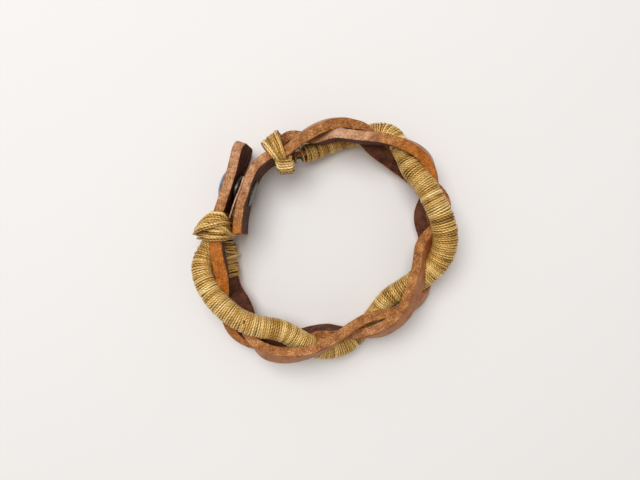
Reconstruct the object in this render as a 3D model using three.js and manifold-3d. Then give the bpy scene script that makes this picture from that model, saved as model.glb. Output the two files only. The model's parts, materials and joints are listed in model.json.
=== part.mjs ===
// Braided leather snap bracelet, lying on its edge. Millimetres, +Z up, the wrist's axis along Z.
// One strap of leather: a solid tab at each end, and between them three strands, plaited. A thread is wound
// round one strand, two more threads bind the ends of the plait, and a snap holds the tabs together.
// Angles round the ring are in degrees, clockwise from +Y as seen from above.

import * as THREE from 'three';
import { mergeVertices } from 'three/addons/utils/BufferGeometryUtils.js';
import Module from 'manifold-3d';

const wasm = await Module();
wasm.setup();

// Clearances.
const seam = 0.3;               // between pieces that touch
const snapPlay = 0.55;          // round the stud, inside the socket
const plaitPlay = 1.35;         // by which a strand's swing is more than the leather's thickness
const hollowOverrun = 0.5;      // in degrees, by which a binding's hollow is cut past its ends

// The ring that the plait follows: a slightly oval loop.
const ringRadius = 36.8;
const ringOval = 3.2;
const ringShift = 0.2;
const ringLongAngle = 58;

// Leather strap, standing on its edge.
const strapHeight = 18;
const leather = 3;
const bindingWall = 0.7;
const edgeRounding = 0.5;

// Plait. Each strand swings from face to face of the band twice while it crosses it once.
const slitWidth = 0.3;
const plaitLean = 36;
const plaitStart = -33;
const plaitEnd = 284;
const startSpread = 14;
const endSpread = 18;
const stationStep = 3;

// Each strand's course: its row where it lies flat, and its turn round the band's edges, as [angle, turn]. A turn
// of 0 is over the top edge, 90 on its way in through the middle, 180 under the bottom edge, 270 in again.
// A hold is where its neighbours take away some of its swing.
const firstPlain = {
  row: 1,
  turns: [[-33, -45], [-15, 0], [8, 55], [41, 130], [57, 180], [97, 305], [122, 360], [142, 415], [184, 485],
    [205, 540], [255, 665], [268, 688], [284, 690]],
};
const secondPlain = {
  row: -1,
  hold: { at: 5, over: 25, by: 0.9 },
  turns: [[-33, -165], [29, 0], [51, 55], [80, 125], [98, 180], [118, 235], [157, 305], [180, 360], [206, 415],
    [240, 485], [262, 498], [284, 530]],
};
const wrapped = {
  row: 0,
  turns: [[-33, -270], [-10, -235], [14, -180], [30, -120], [75, 0], [93, 55], [131, 125], [152, 180], [172, 235],
    [203, 293], [231, 360], [255, 415], [268, 448], [284, 450]],
};
const lingerAtEdges = 23;       // how much longer a strand takes over an edge than through the middle

// Where the band flexes open. The strands are in two lengths, which part here.
const flexAngle = 246.5;

// Thread.
const wrapGap = 0.4;
const wrapWall = 0.3;
const coreTrim = 0.7;           // taken off the core's edges by the tight thread
const wrapStart = -13;
const wrapEnd = 270.2;
const tailStart = 250.5;
const tailEnd = 267;
const sleeveRounding = 0.7;

// Snap.
const snapTurn = 18;            // the tabs' direction at the snap, clockwise from +Y
const snapGap = 3.1;            // between the two tabs
const capRadius = 5.2;
const capHeight = 2.4;
const capRim = 0.5;
const postRadius = 1.6;
const postPlay = 0.3;
const socketRadius = 4.6;
const socketFront = 1.15;       // from the inner tab to the socket's mouth
const studRadius = 2.1;
const studHeight = 1.5;
const flangeRadius = 4.4;
const flangeThickness = 0.5;
const eyeletRadius = 4.6;
const eyeletCrown = 0.25;
const springSection = 0.45;
const springPlay = 0.15;
const springSplit = 1.2;
const grooveOffset = 0.1;       // from the middle of the socket's depth, towards the inner tab
const lipRounding = 0.4;
const studWaist = 0.35;

// Outer tab: straight, from its knuckle to a rounded end.
const mouthInset = 0.25;        // where the strap leaves the binding, inwards from the ring
const mouthTurn = 0.85;         // and how far past the plait's end, in degrees
const mouthDistance = 9.7;      // from there to the snap
const knuckleRise = 1.0;        // from there to the knuckle's axis
const knuckleInset = 0.75;      // from the strap's middle, towards the wrist
const knuckleProud = 0.05;
const tabReach = 14.6;          // from the snap to the tab's end
const tabCorner = 5;

// Inner tab: straight behind the snap, with a free end that bends away from the bindings.
const innerStraight = 4.5;      // each way from the snap
const innerBend = { at: 10.3, by: 0.8 };
const innerEnd = { at: 14.8, by: 2 };
const innerMeeting = 3.5;       // in degrees, over which it comes onto the ring before the plait
const innerBulge = 0.7;         // outwards, half way from the straight to there

// Bindings. Each spans these angles, and at its two ends makes room for these shares of the plait's reach.
const lowerTurns = { from: 269.6, to: 274.9, inwards: [0.72, 0.59], outwards: [0.61, 0.6] };
const upperTurns = { from: 275.4, to: 284.2, inwards: [0.54, 0.1], outwards: [0.58, 0.1] };
const innerTurns = { from: -32.6, to: -23.8, inwards: [0.14, 0.46], outwards: [0.4, 0.71] };
const bindingRounding = 0.18;   // the share of its width and height that each rounded corner takes
const loopThread = 0.8;         // radius of the loop's bundle of thread

const halfLeather = leather / 2;
const halfHeight = strapHeight / 2;
const plaitSwing = leather + plaitPlay;
const plaitRise = strapHeight / 3 + slitWidth;
const bindingHalfHeight = halfHeight + seam + bindingWall;
const middle = bindingHalfHeight;            // height of the strap's middle above the table
const strandWidth = strapHeight / 3 - slitWidth;
const coreWidth = strandWidth - coreTrim;
const coreThickness = leather - coreTrim;

const materials = {
  leather: { color: 0x9a5f33, roughness: 0.6, metalness: 0 },
  thread: { color: 0xb9924a, roughness: 0.45, metalness: 0.3 },
  metal: { color: 0x7f858c, roughness: 0.35, metalness: 0.9 },
};

const bracelet = new THREE.Group();

function add(name, geometry, look) {
  const material = new THREE.MeshStandardMaterial(materials[look]);
  const mesh = new THREE.Mesh(geometry, material);
  mesh.name = name;
  bracelet.add(mesh);
  return mesh;
}

// Solids.

function toSolid(geometry) {
  const bare = geometry.clone();
  bare.deleteAttribute('normal');
  bare.deleteAttribute('uv');
  const merged = mergeVertices(bare, 1e-4);
  const vertProperties = merged.attributes.position.array;
  const triVerts = new Uint32Array(merged.index.array);
  return new wasm.Manifold(new wasm.Mesh({ numProp: 3, vertProperties, triVerts }));
}

function toGeometry(solid) {
  const mesh = solid.getMesh();
  const geometry = new THREE.BufferGeometry();
  geometry.setAttribute('position', new THREE.BufferAttribute(mesh.vertProperties, 3));
  geometry.setIndex(new THREE.BufferAttribute(mesh.triVerts, 1));
  const faceted = geometry.toNonIndexed();
  faceted.computeVertexNormals();
  return faceted;
}

// A rectangle with rounded corners. Its x runs through the band, outwards, and its y up the band.
function roundedRectangle(width, height, rounding) {
  const x = width / 2;
  const y = height / 2;
  const r = Math.min(rounding, x * 0.9, y * 0.9);
  const shape = new THREE.Shape();
  shape.moveTo(x - r, -y);
  shape.lineTo(x, -y + r);
  shape.lineTo(x, y - r);
  shape.lineTo(x - r, y);
  shape.lineTo(-x + r, y);
  shape.lineTo(-x, y - r);
  shape.lineTo(-x, -y + r);
  shape.lineTo(-x + r, -y);
  shape.closePath();
  return shape;
}

// Extrudes the shape into a straight bar and lays the bar along a route. place(t) gives the route's point, and
// the directions of the shape's x and y there, for t from 0 to 1.
function layAlong(shape, steps, place) {
  const bar = new THREE.ExtrudeGeometry(shape, { depth: 1, steps, bevelEnabled: false, curveSegments: 3 });
  const positions = bar.attributes.position;
  const vertex = new THREE.Vector3();
  for (let i = 0; i < positions.count; i += 1) {
    vertex.fromBufferAttribute(positions, i);
    const { point, outward, up } = place(Math.round(vertex.z * steps) / steps);
    point.addScaledVector(outward, vertex.x).addScaledVector(up, vertex.y);
    positions.setXYZ(i, point.x, point.y, point.z);
  }
  return bar;
}

// The ring and the strands' routes.

const radians = THREE.MathUtils.degToRad;
const sine = (degrees) => Math.sin(radians(degrees));
const cosine = (degrees) => Math.cos(radians(degrees));
const smooth = (x) => THREE.MathUtils.smoothstep(x, 0, 1);

function ringRadiusAt(angle) {
  const fromLong = angle - ringLongAngle;
  return ringRadius + ringOval * cosine(2 * fromLong) + ringShift * cosine(fromLong);
}

function atAngle(angle, radius, height) {
  return new THREE.Vector3(radius * sine(angle), radius * cosine(angle), height);
}

for (const course of [firstPlain, secondPlain, wrapped]) {
  const angles = course.turns.map(([angle]) => angle);
  const turned = course.turns.map(([, turn]) => turn);
  const curve = new THREE.CubicInterpolant(angles, turned, 1, new Float64Array(1));
  course.turnAt = (angle) => curve.evaluate(angle)[0];
}

const swingAt = (turn) => sine(2 * turn - lingerAtEdges * sine(2 * turn));

// How far the strands have spread into the plait: 0 at its two ends, where they lie flat, one above another.
function spreadAt(angle) {
  return smooth((angle - plaitStart) / startSpread) * smooth((plaitEnd - angle) / endSpread);
}

// How far a strand swings from the middle of the band, -1 inwards to 1 outwards.
function swingOf({ hold, turnAt }, angle) {
  const held = hold ? hold.by * smooth(1 - Math.abs(angle - hold.at) / hold.over) : 0;
  return swingAt(turnAt(angle)) * spreadAt(angle) * (1 - held);
}

function strandPoint(angle, course) {
  const radius = ringRadiusAt(angle) + plaitSwing * swingOf(course, angle);
  const rise = plaitRise * cosine(course.turnAt(angle));
  return atAngle(angle, radius, middle + THREE.MathUtils.lerp(course.row * strapHeight / 3, rise, spreadAt(angle)));
}

function strandFrame(angle, course) {
  const step = 0.25;
  const point = strandPoint(angle, course);
  const ahead = strandPoint(Math.min(angle + step, plaitEnd), course);
  const behind = strandPoint(Math.max(angle - step, plaitStart), course);
  const along = ahead.sub(behind).normalize();
  const radial = atAngle(angle, 1, 0);
  const flat = radial.clone().addScaledVector(along, -radial.dot(along)).normalize();
  const upright = along.clone().cross(flat);
  const lean = -plaitLean * swingOf(course, angle) * cosine(course.turnAt(angle));
  const outward = flat.clone().multiplyScalar(cosine(lean)).addScaledVector(upright, -sine(lean));
  const up = upright.multiplyScalar(cosine(lean)).addScaledVector(flat, sine(lean));
  return { point, outward, up };
}

// Stations are the same angles on every strand, so that a sleeve follows the strand inside it.
function stationsBetween(from, to) {
  const stations = [from];
  const clear = stationStep / 4;
  for (let angle = Math.ceil(from / stationStep) * stationStep; angle < to - clear; angle += stationStep) {
    if (angle > from + clear) stations.push(angle);
  }
  return [...stations, to];
}

function strand(shape, from, to, course) {
  const stations = stationsBetween(from, to);
  const steps = stations.length - 1;
  return layAlong(shape, steps, (t) => strandFrame(stations[Math.round(t * steps)], course));
}

const leatherSection = roundedRectangle(leather, strandWidth, edgeRounding);
const coreSection = roundedRectangle(coreThickness, coreWidth, edgeRounding);

// Each strand is in two lengths that meet at the flex line.
const flexSeam = THREE.MathUtils.radToDeg(seam / 2 / ringRadius);
const strands = [
  { name: 'first_plain_strand', section: leatherSection, course: firstPlain },
  { name: 'second_plain_strand', section: leatherSection, course: secondPlain },
  { name: 'wrapped_strand_core', section: coreSection, course: wrapped },
];
for (const { name, section, course } of strands) {
  add(name, strand(section, plaitStart, flexAngle - flexSeam, course), 'leather');
  add(`${name}_end`, strand(section, flexAngle + flexSeam, plaitEnd, course), 'leather');
}

// A sleeve of thread, wound round a strand.
function sleeveSection(thickness, width) {
  const inner = roundedRectangle(thickness + 2 * wrapGap, width + 2 * wrapGap, edgeRounding);
  const reach = wrapGap + wrapWall;
  const outer = roundedRectangle(thickness + 2 * reach, width + 2 * reach, sleeveRounding);
  outer.holes.push(inner);
  return outer;
}

const wrapSection = sleeveSection(coreThickness, coreWidth);
add('thread_wrap', strand(wrapSection, wrapStart, flexAngle - flexSeam, wrapped), 'thread');
add('thread_wrap_end', strand(wrapSection, flexAngle + flexSeam, wrapEnd, wrapped), 'thread');

const tailSection = sleeveSection(leather, strandWidth);
add('knot_one_tail', strand(tailSection, tailStart, tailEnd, secondPlain), 'thread');

// Bindings round the ends of the plait. They stand on the table, and are flat below. The plait's reach is its
// swing, and what a leaning strand's edge adds to that.
const plaitReach = plaitSwing + strandWidth / 2 * sine(plaitLean);

function bindingFace({ from, to }, shares, angle) {
  const share = THREE.MathUtils.mapLinear(angle, from, to, shares[0], shares[1]);
  return halfLeather + seam + bindingWall + share * plaitReach;
}

function bindingBlock(sizes, inset, overrun) {
  const shape = roundedRectangle(1, 1, bindingRounding);
  const height = 2 * (bindingHalfHeight - inset);
  return layAlong(shape, 4, (t) => {
    const angle = THREE.MathUtils.lerp(sizes.from - overrun, sizes.to + overrun, t);
    const low = ringRadiusAt(angle) - bindingFace(sizes, sizes.inwards, angle) + inset;
    const high = ringRadiusAt(angle) + bindingFace(sizes, sizes.outwards, angle) - inset;
    const point = atAngle(angle, (low + high) / 2, middle);
    const outward = atAngle(angle, high - low, 0);
    return { point, outward, up: new THREE.Vector3(0, 0, height) };
  });
}

function binding(sizes) {
  const hollow = toSolid(bindingBlock(sizes, bindingWall, hollowOverrun));
  return toGeometry(toSolid(bindingBlock(sizes, 0, 0)).subtract(hollow));
}

add('knot_one_lower_turns', binding(lowerTurns), 'thread');
add('knot_one_upper_turns', binding(upperTurns), 'thread');
add('knot_two_turns', binding(innerTurns), 'thread');

// The loop of thread that hangs on knot two's inner side, as [angle, sag inwards, rise from the middle].
const loopPoints = [[-33.5, 0, 5], [-32, 0.5, 1], [-28, 0.8, -1.5], [-24, 0.5, 1], [-22.5, 0.1, 5]];
const loopRoute = new THREE.CatmullRomCurve3(loopPoints.map(([angle, sag, rise]) => {
  const face = ringRadiusAt(angle) - bindingFace(innerTurns, innerTurns.inwards, angle);
  return atAngle(angle, face - seam - loopThread - sag, middle + rise);
}));
const loopSection = new THREE.Shape().absarc(0, 0, loopThread, 0, 2 * Math.PI);
const loopGeometry = new THREE.ExtrudeGeometry(loopSection, { extrudePath: loopRoute, steps: 14, curveSegments: 4 });
add('knot_two_loop', loopGeometry, 'thread');

// Tabs. Directions at the snap: along the tabs, away from the bindings, and inwards through them.
const tabAlong = atAngle(snapTurn, 1, 0);
const tabInward = atAngle(snapTurn + 90, 1, 0);
const mouthAngle = plaitEnd + mouthTurn;
const mouth = atAngle(mouthAngle, ringRadiusAt(mouthAngle) - mouthInset, middle);
const outerTabMiddle = mouth.clone().addScaledVector(tabAlong, mouthDistance);
const innerTabInset = leather + snapGap;

// Stands a shape's x along the outer tab and its y up, and extrudes it through the leather.
function throughOuterTab(shape, depth, inwardStart) {
  const solid = new THREE.ExtrudeGeometry(shape, { depth, bevelEnabled: false, curveSegments: 16 });
  const basis = new THREE.Matrix4().makeBasis(tabAlong, new THREE.Vector3(0, 0, 1), tabInward);
  basis.setPosition(outerTabMiddle.clone().addScaledVector(tabInward, inwardStart));
  return solid.applyMatrix4(basis);
}

// The tab seen from the side, from the knuckle's axis to its end, which has two rounded corners.
function outerTabShape() {
  const cornerX = tabReach - tabCorner;
  const cornerY = halfHeight - tabCorner;
  const shape = new THREE.Shape();
  shape.moveTo(-knuckleAt, halfHeight);
  shape.lineTo(-knuckleAt, -halfHeight);
  shape.absarc(cornerX, -cornerY, tabCorner, -Math.PI / 2, 0, false);
  shape.absarc(cornerX, cornerY, tabCorner, 0, Math.PI / 2, false);
  shape.closePath();
  return shape;
}

// A cylinder along Z at the knuckle's axis.
const knuckleAt = mouthDistance - knuckleRise;
const knuckleCentre = outerTabMiddle.clone()
  .addScaledVector(tabAlong, -knuckleAt)
  .addScaledVector(tabInward, knuckleInset);
const knuckleRadius = halfLeather + knuckleInset + knuckleProud;

function knuckleCylinder(radius) {
  const cylinder = new THREE.CylinderGeometry(radius, radius, 1.2 * strapHeight, 48);
  cylinder.rotateX(Math.PI / 2);
  cylinder.translate(knuckleCentre.x, knuckleCentre.y, knuckleCentre.z);
  return toSolid(cylinder);
}

// A cylinder along the snap's axis, from one distance inwards of the outer tab's middle to another.
function snapCylinder(radius, from, to) {
  const cylinder = new THREE.CylinderGeometry(radius, radius, to - from, 32);
  return toSolid(placeOnSnap(cylinder, (from + to) / 2));
}

// Turns a shape of revolution about Y onto the snap's axis, its +Y inwards.
function placeOnSnap(geometry, inwardDistance) {
  const across = new THREE.Vector3(0, 0, 1);
  const basis = new THREE.Matrix4().makeBasis(tabInward.clone().cross(across), tabInward, across);
  basis.setPosition(outerTabMiddle.clone().addScaledVector(tabInward, inwardDistance));
  return geometry.applyMatrix4(basis);
}

function outerTab() {
  const plate = toSolid(throughOuterTab(outerTabShape(), leather, -halfLeather));
  const hole = snapCylinder(postRadius + postPlay, -leather, leather);
  return toGeometry(plate.subtract(knuckleCylinder(knuckleRadius + seam)).subtract(hole));
}

// The stub of the outer tab that stays in the binding, with the round end that the tab turns on.
function outerTabRoot() {
  const stubStart = mouthDistance - seam;
  const stubShape = new THREE.Shape();
  stubShape.moveTo(-knuckleAt, halfHeight);
  stubShape.lineTo(-stubStart, halfHeight);
  stubShape.lineTo(-stubStart, -halfHeight);
  stubShape.lineTo(-knuckleAt, -halfHeight);
  stubShape.closePath();
  const stub = toSolid(throughOuterTab(stubShape, leather, -halfLeather));
  const plate = toSolid(throughOuterTab(outerTabShape(), leather, -halfLeather));
  const roundEnd = plate.intersect(knuckleCylinder(knuckleRadius));
  return toGeometry(stub.add(roundEnd));
}

add('outer_tab', outerTab(), 'leather');
add('outer_tab_root', outerTabRoot(), 'leather');

// Inner tab: from its square end, straight behind the snap, then round to knot two.
function besideSnap(distance, bend) {
  const inward = innerTabInset + bend;
  return outerTabMiddle.clone().addScaledVector(tabAlong, distance).addScaledVector(tabInward, inward);
}

const meetingAngle = plaitStart - innerMeeting;
const meeting = atAngle(meetingAngle, ringRadiusAt(meetingAngle), middle);
const halfWay = besideSnap(innerStraight, 0).lerp(meeting, 0.5);
const innerTabRoute = new THREE.CatmullRomCurve3([
  besideSnap(-innerEnd.at, innerEnd.by),
  besideSnap(-innerBend.at, innerBend.by),
  besideSnap(-innerStraight, 0),
  besideSnap(0, 0),
  besideSnap(innerStraight, 0),
  halfWay.addScaledVector(tabInward, -innerBulge),
  meeting,
  atAngle(plaitStart, ringRadiusAt(plaitStart), middle),
]);

function innerTab() {
  const routeLength = innerTabRoute.getLength();
  const section = roundedRectangle(leather, strapHeight, edgeRounding);
  const plate = toSolid(layAlong(section, 24, (t) => {
    const reach = t * (1 - seam / routeLength);
    const along = innerTabRoute.getTangentAt(reach);
    const outward = new THREE.Vector3(-along.y, along.x, 0);
    return { point: innerTabRoute.getPointAt(reach), outward, up: new THREE.Vector3(0, 0, 1) };
  }));
  const hole = snapCylinder(postRadius + postPlay, innerTabInset - leather, innerTabInset + leather);
  return toGeometry(plate.subtract(hole));
}

add('inner_tab', innerTab(), 'leather');

// Snap. Profiles are (radius, distance inwards), turned about the snap's axis.
function turned(points, inwardDistance) {
  const profile = points.map(([radius, height]) => new THREE.Vector2(radius, height));
  return placeOnSnap(new THREE.LatheGeometry(profile, 24), inwardDistance);
}

const outerFace = -halfLeather;
const innerFace = halfLeather;
const studFace = halfLeather + snapGap;
const backFace = studFace + leather;
const socketBack = innerFace + seam;
const socketMouth = studFace - socketFront;

// Cap: a dome outside, and a post through the leather that flares in the socket's back.
function capProfile() {
  const base = outerFace - seam;
  const dome = new THREE.QuadraticBezierCurve(
    new THREE.Vector2(0, base - capHeight),
    new THREE.Vector2(capRadius * 0.75, base - capHeight),
    new THREE.Vector2(capRadius, base - capRim),
  );
  const points = dome.getPoints(6).map((p) => [p.x, p.y]);
  return [...points, [capRadius, base], [postRadius, base], [postRadius, socketBack - seam], [0, socketBack - seam]];
}

// Socket: a cup with its mouth towards the stud, and a groove for the spring.
const throat = studRadius + snapPlay;
const grooveDepth = springSection + 2 * springPlay;
const grooveMiddle = (socketBack + socketMouth) / 2 + grooveOffset;
const socketProfile = [
  [throat, socketMouth],
  [throat, grooveMiddle + grooveDepth / 2],
  [throat + grooveDepth, grooveMiddle + grooveDepth / 2],
  [throat + grooveDepth, grooveMiddle - grooveDepth / 2],
  [throat, grooveMiddle - grooveDepth / 2],
  [throat, socketBack],
  [socketRadius, socketBack],
  [socketRadius, socketMouth - lipRounding],
  [socketRadius - lipRounding, socketMouth],
  [throat, socketMouth],
];

// Spring: a split ring in the socket's groove, drawn at the width that lets the stud through.
function springRing() {
  const radius = throat + (grooveDepth - springSection) / 3 + springSection / 2;
  const ring = new THREE.TorusGeometry(radius, springSection / 2, 6, 24);
  ring.rotateX(Math.PI / 2);
  const slot = new THREE.BoxGeometry(4 * springSection, 4 * springSection, springSplit).translate(radius, 0, 0);
  placeOnSnap(ring, grooveMiddle);
  placeOnSnap(slot, grooveMiddle);
  return toGeometry(toSolid(ring).subtract(toSolid(slot)));
}

// Stud: a flange on the inner tab and a waisted head.
const flangeTop = studFace - seam - flangeThickness;
const studProfile = [
  [0, studFace - seam],
  [0, flangeTop - studHeight],
  [studRadius - lipRounding, flangeTop - studHeight],
  [studRadius, flangeTop - studHeight + lipRounding],
  [studRadius - studWaist, flangeTop],
  [flangeRadius, flangeTop],
  [flangeRadius, studFace - seam],
  [0, studFace - seam],
];

// Eyelet: a flange on the inner tab's inner face, and a post through the leather.
const eyeletProfile = [
  [0, studFace],
  [postRadius, studFace],
  [postRadius, backFace + seam],
  [eyeletRadius, backFace + seam],
  [eyeletRadius - lipRounding, backFace + seam + flangeThickness],
  [0, backFace + seam + flangeThickness + eyeletCrown],
];

function turnedSolid(points) {
  const solid = toSolid(turned(points, 0));
  const facingOut = solid.volume() > 0;
  return toGeometry(facingOut ? solid : toSolid(turned([...points].reverse(), 0)));
}

add('snap_cap', turnedSolid(capProfile()), 'metal');
add('snap_socket', turnedSolid(socketProfile), 'metal');
add('snap_spring', springRing(), 'metal');
add('snap_stud', turnedSolid(studProfile), 'metal');
add('snap_eyelet', turnedSolid(eyeletProfile), 'metal');

// The origin is under the middle of the whole object, on the table.
const box = new THREE.Box3().setFromObject(bracelet, true);
const centre = box.getCenter(new THREE.Vector3());
bracelet.position.set(-centre.x, -centre.y, -box.min.z);

export default bracelet;
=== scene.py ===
# Looks of a braided leather snap bracelet that lies on its edge.
# Lengths are in millimetres, and MM turns them into metres. The floor's and the light's are in metres.
# Angles round the ring are in degrees, clockwise from +Y as seen from above.
import json
import math

import bpy
import numpy as np
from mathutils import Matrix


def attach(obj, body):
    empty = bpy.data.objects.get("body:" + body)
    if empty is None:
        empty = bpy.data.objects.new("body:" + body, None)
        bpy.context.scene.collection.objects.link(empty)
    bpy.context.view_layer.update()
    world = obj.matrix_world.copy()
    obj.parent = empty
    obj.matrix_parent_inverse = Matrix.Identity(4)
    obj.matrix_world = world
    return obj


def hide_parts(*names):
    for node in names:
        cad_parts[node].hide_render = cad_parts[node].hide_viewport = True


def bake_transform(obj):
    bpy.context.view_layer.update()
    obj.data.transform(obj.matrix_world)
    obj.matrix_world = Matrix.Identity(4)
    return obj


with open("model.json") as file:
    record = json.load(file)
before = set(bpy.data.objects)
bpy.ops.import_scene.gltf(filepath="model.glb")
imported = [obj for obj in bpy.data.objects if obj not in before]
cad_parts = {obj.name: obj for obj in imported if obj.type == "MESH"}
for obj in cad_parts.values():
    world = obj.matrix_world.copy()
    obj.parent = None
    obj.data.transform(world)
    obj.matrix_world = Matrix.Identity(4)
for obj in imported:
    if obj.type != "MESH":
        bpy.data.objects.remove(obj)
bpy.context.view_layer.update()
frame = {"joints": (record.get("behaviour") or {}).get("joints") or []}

MM = 0.001
chance = np.random.default_rng(7)

# ---------------------------------------------------------------- sizes of the ring and the strap

# The ring is an oval, longest across RING_LONG_ANGLE, and a little egg-shaped.
RING_RADIUS = 36.8
RING_OVAL = 3.2
RING_SHIFT = 0.2
RING_LONG_ANGLE = 58

# LEATHER is the strap's thickness. The bindings hold the strap UNDER_STRAP above the floor.
STRAP_HEIGHT = 18
LEATHER = 3
SLIT = 0.3
STRAND_WIDTH = STRAP_HEIGHT / 3 - SLIT
UNDER_STRAP = 1.0
MIDDLE = STRAP_HEIGHT / 2 + UNDER_STRAP

# The plait runs from PLAIT_START to PLAIT_END, and its strands leave their flat rows within each SPREAD.
# LINGER, in degrees, keeps a strand near the ring's line for longer at the top and the bottom.
PLAIT_RISE = STRAP_HEIGHT / 3 + SLIT
PLAIT_START = -33
PLAIT_END = 284
START_SPREAD = 14
END_SPREAD = 18
LINGER = 23

# The strands' courses. The lists have rows of (angle, value).
#   row: the strand's place where the strap lies flat, from 1 at the top to -1 at the bottom
#   hold: the angle where it keeps near the ring's line, how far that reaches each way, and by what share
#   swing: how far it swings to each side of the ring's line
#   push: how much further outwards it lies
#   thick: its thickness, as a share of the usual
#   lean: how far its top leans outwards, in degrees
#   tones: the tint of its leather, whose pale end is partly a painted highlight, as leather_look explains
#   turns: its turn in the plait, in degrees, with 0 at the top and 180 at the bottom
FIRST_PLAIN = {
    "row": 1,
    "hold": (40, 26, 0.45),
    "swing": 4.25,
    "push": [(-33, 0), (-15, 0), (5, -0.3), (22, 0), (125, 0), (142, -1.2), (156, -0.6), (176, 0.8),
             (196, 2.2), (212, 2.0), (232, 0), (252, 1.3), (284, 0)],
    "thick": [(-33, 1), (234, 1), (250, 1.25), (268, 1.25), (284, 1)],
    "lean": [(-33, 0), (-5, -14), (12, -8), (22, 40), (32, 64), (50, 64), (62, 50), (80, 0), (97, -26),
             (120, -38), (146, -32), (164, -5), (180, 18), (198, 58), (214, 50), (235, 0), (284, 0)],
    "tones": [(-33, 0.1), (-10, 0.0), (20, 0.1), (120, 0.1), (150, -0.3), (185, 0.1), (235, 0.5), (250, 1.0),
              (284, 1.0)],
    "turns": [(-33, -45), (-15, 0), (8, 55), (41, 130), (57, 180), (97, 305), (122, 360), (142, 415),
              (184, 485), (205, 540), (255, 665), (268, 688), (284, 690)],
}
SECOND_PLAIN = {
    "row": -1,
    "hold": (5, 25, 0.9),
    "swing": 4.25,
    "push": [(-33, 0), (-2, 0), (16, 0.5), (36, 0), (70, 0), (86, 1.3), (100, 0), (118, 0), (138, 1.0),
             (156, 1.0), (176, 0), (192, 0.4), (208, 0.4), (222, 0), (240, 1.1), (254, 0), (284, 0)],
    "thick": [(-33, 1), (284, 1)],
    "lean": [(-33, 0), (25, 0), (52, -22), (68, 5), (80, 45), (96, 40), (110, -8), (120, -24), (142, -8),
             (180, -16), (206, -34), (224, 25), (240, 56), (262, 40), (284, 0)],
    "tones": [(-33, 0.2), (-5, -0.4), (12, -0.8), (28, -0.3), (40, 0.8), (72, 0.8), (100, 0.2), (165, 0.0),
              (200, -0.1), (284, 0.0)],
    "turns": [(-33, -165), (29, 0), (51, 55), (80, 125), (98, 180), (118, 235), (157, 305), (180, 360),
              (206, 415), (240, 485), (262, 498), (284, 530)],
}
WRAPPED = {
    "row": 0,
    "swing": 3.4,
    "push": [(-33, 0), (20, 0), (34, 1.6), (44, 2.2), (55, 1.5), (74, 0), (90, -0.5), (104, 0), (186, 0),
             (203, -0.5), (220, 0), (284, 0)],
    "thick": [(-33, 0.85), (12, 0.85), (30, 1), (60, 1.08), (88, 1.24), (108, 1.16), (126, 1), (152, 0.95),
              (190, 1.06), (284, 1.04)],
    "lean": [(-33, 0), (284, 0)],
    "tones": [(-33, 0.0), (284, 0.0)],
    "turns": [(-33, -270), (-10, -235), (14, -180), (30, -120), (75, 0), (93, 55), (131, 125), (152, 180),
              (172, 235), (203, 293), (231, 360), (255, 415), (268, 448), (284, 450)],
}

# The stretch that bends when the band opens, and the hinge that it bends about, outside the ring.
FLEX_ANGLE = 246.5
FLEX_RADIUS = 47.6
BEND_FROM = 226
BEND_TO = 267
BEND_MARGIN = 1.5
hinge = next(joint for joint in frame["joints"] if joint["name"] == "band_flex")["pos_m"]
RING_CENTRE = np.array([
    hinge[0] / MM - FLEX_RADIUS * math.sin(math.radians(FLEX_ANGLE)),
    hinge[1] / MM - FLEX_RADIUS * math.cos(math.radians(FLEX_ANGLE)),
    0.0,
])

# The tabs run beside each other along SNAP_TURN, SNAP_GAP apart. The outer one starts at the mouth, where the
# plait ends, has the snap MOUTH_DISTANCE further on, and ends TAB_REACH past it with rounded corners.
SNAP_TURN = 18
SNAP_GAP = 3.1
MOUTH_ANGLE = PLAIT_END + 0.85
MOUTH_INSET = 0.25
MOUTH_DISTANCE = 9.7
TAB_REACH = 15.3
TAB_CORNER = 5

# The inner tab is straight for INNER_STRAIGHT each side of the snap. INNER_BEND and INNER_END are
# (distance back from the snap, distance inwards), and it meets the plait INNER_MEETING degrees before it.
INNER_STRAIGHT = 4.5
INNER_BEND = (10.3, 0.8)
INNER_END = (14.8, 2.0)
INNER_MEETING = 3.5
INNER_BULGE = 0.7

# How the leather is cut: the corners' radii at the grain and at the flesh, the rounding of a cut end, the
# share of the half height past which a strip counts as its edge, and the size of that edge's roughness.
GRAIN_CORNER = 0.55
FLESH_CORNER = 0.28
CUT_ROUNDING = 0.35
EDGE_SHARE = 0.8
EDGE_ROUGHNESS = 0.035

# Degrees between a strand's sections. Strands press into each other, so the plain ones are drawn fuller than
# they are cut, by this on each side, and the wrapped one's core slimmer.
STRAND_STEP = 0.7
FULLER_THICKNESS = 0.2
FULLER_WIDTH = 0.25
SLIMMER_CORE = 0.35

# The thread's radius, and the long winding: where it starts and ends, its section's half width, the distance
# between turns, how far they wander, and the sleeve just under them, coloured dark as painted shade.
THREAD = 0.35
WRAP_START = -12.5
WRAP_END = 270.5
WRAP_HALF_WIDTH = 3.2
WRAP_PITCH = 0.71
WRAP_WOBBLE = 0.16
WRAP_SAMPLES = 24
WRAP_MARGIN = 1.5
SLEEVE_RADIUS = 2.95
SLEEVE_PAINTED_SHADE = 0.12
SLEEVE_INSET = 0.5

# How far the bindings' turns stand above and below the strap, and how square each turn is: lower is squarer.
BINDING_PROUD = 0.9
BINDING_SQUARENESS = 0.6


# ---------------------------------------------------------------- the ring and the strands' routes

def sine(degrees):
    return np.sin(np.radians(degrees))


def cosine(degrees):
    return np.cos(np.radians(degrees))


def smooth(x):
    x = np.clip(x, 0, 1)
    return x * x * (3 - 2 * x)


def unit(vectors):
    return vectors / np.linalg.norm(vectors, axis=-1, keepdims=True)


def eased(x, keys):
    """Between keys (x, value) with no slope at any key."""
    at, value = np.array(keys, float).T
    right = np.clip(np.searchsorted(at, x, side="right"), 1, len(at) - 1)
    share = smooth((x - at[right - 1]) / (at[right] - at[right - 1]))
    return value[right - 1] * (1 - share) + value[right] * share


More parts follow.
